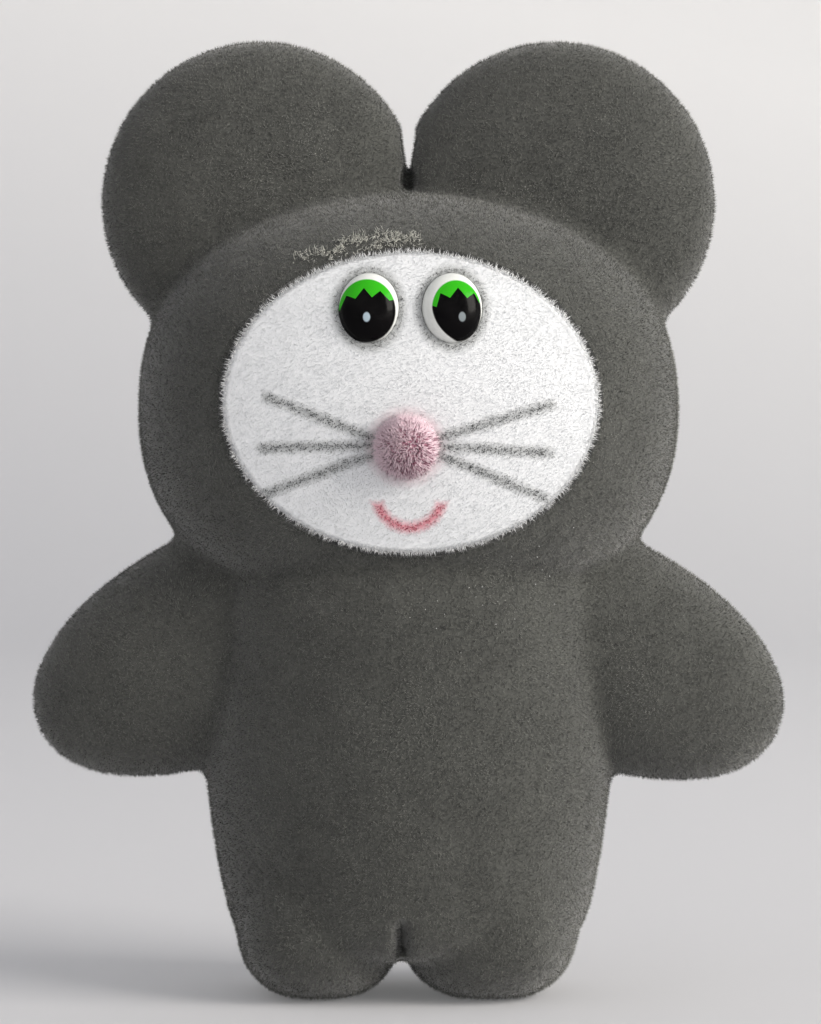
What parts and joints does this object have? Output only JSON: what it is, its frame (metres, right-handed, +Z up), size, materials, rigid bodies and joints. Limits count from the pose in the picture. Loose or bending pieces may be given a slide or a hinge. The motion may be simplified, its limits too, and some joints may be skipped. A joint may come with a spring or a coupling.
{
  "type": "clockwork mouse",
  "caption": "Flocked standing toy mouse with a white face, domed eyes and ball nose; a wound spring motor inside shakes it by an eccentric weight, with a key in the back.",
  "frame": {"origin": "middle of the figure's box, on the surface that its soles stand on", "axes": "+Z up, -Y the way the face looks, +X towards the figure's own left hand"},
  "size_m": [0.0946, 0.057, 0.1197],
  "materials": {
    "grey_flock": "short velvet flock, worn pale on the forehead",
    "white_flock": "short velvet flock",
    "pink_flock": "long velvet flock",
    "eye_plastic": "gloss, with a printed lid and iris",
    "plate_steel": "plated, satin",
    "dark_steel": "turned and hardened, satin",
    "brass": "stamped, lightly tarnished",
    "zinc": "cast zinc and plated screws, dull"
  },
  "bodies": {
    "housing": {"front_shell": "grey_flock", "back_shell": "grey_flock", "face_plate": "white_flock", "nose": "pink_flock", "right_eye": "eye_plastic", "left_eye": "eye_plastic", "motor_front_plate": "plate_steel", "motor_back_plate": "plate_steel", "key_bush": "brass", "mainspring": "dark_steel", "pillar_1": "dark_steel", "motor_screw_1": "zinc", "pillar_2": "dark_steel", "motor_screw_2": "zinc", "pillar_3": "dark_steel", "motor_screw_3": "zinc", "pillar_4": "dark_steel", "motor_screw_4": "zinc"},
    "winder": {"winding_arbor": "dark_steel", "ratchet_wheel": "dark_steel", "winding_key": "plate_steel"},
    "great": {"great_wheel": "brass", "click_rivet": "dark_steel", "click_spring": "brass"},
    "click": {"click": "dark_steel"},
    "second": {"second_arbor": "dark_steel", "second_pinion": "brass", "second_wheel": "brass"},
    "third": {"third_arbor": "dark_steel", "third_pinion": "brass", "third_wheel": "brass"},
    "governor": {"governor_arbor": "dark_steel", "governor_pinion": "brass", "eccentric_weight": "zinc"}
  },
  "joints": [
    {"name": "key_wind", "type": "hinge", "parent": "housing", "child": "winder", "pos_m": [0, 0, 0.04422], "axis": [0, 1, 0], "range_deg": [0, 1890], "deforming": ["mainspring"]},
    {"name": "great_wheel_turn", "type": "hinge", "parent": "housing", "child": "great", "pos_m": [0, 0, 0.04422], "axis": [0, 1, 0], "continuous": true},
    {"name": "click_lift", "type": "hinge", "parent": "great", "child": "click", "pos_m": [0.00709, 0, 0.04976], "axis": [0, 1, 0], "range_deg": [0, 8], "stiffness_Nm_per_rad": 0.0005, "deforming": ["click_spring"]},
    {"name": "second_arbor_turn", "type": "hinge", "parent": "housing", "child": "second", "pos_m": [0, 0, 0.02612], "axis": [0, 1, 0], "continuous": true},
    {"name": "third_arbor_turn", "type": "hinge", "parent": "housing", "child": "third", "pos_m": [0.01062, 0, 0.02172], "axis": [0, 1, 0], "continuous": true},
    {"name": "governor_turn", "type": "hinge", "parent": "housing", "child": "governor", "pos_m": [0.01353, 0, 0.02928], "axis": [0, 1, 0], "continuous": true}
  ],
  "couplings": [
    {"joint": "second_arbor_turn", "follows": "great_wheel_turn", "ratio": -4},
    {"joint": "third_arbor_turn", "follows": "great_wheel_turn", "ratio": 15},
    {"joint": "governor_turn", "follows": "great_wheel_turn", "ratio": -45}
  ]
}
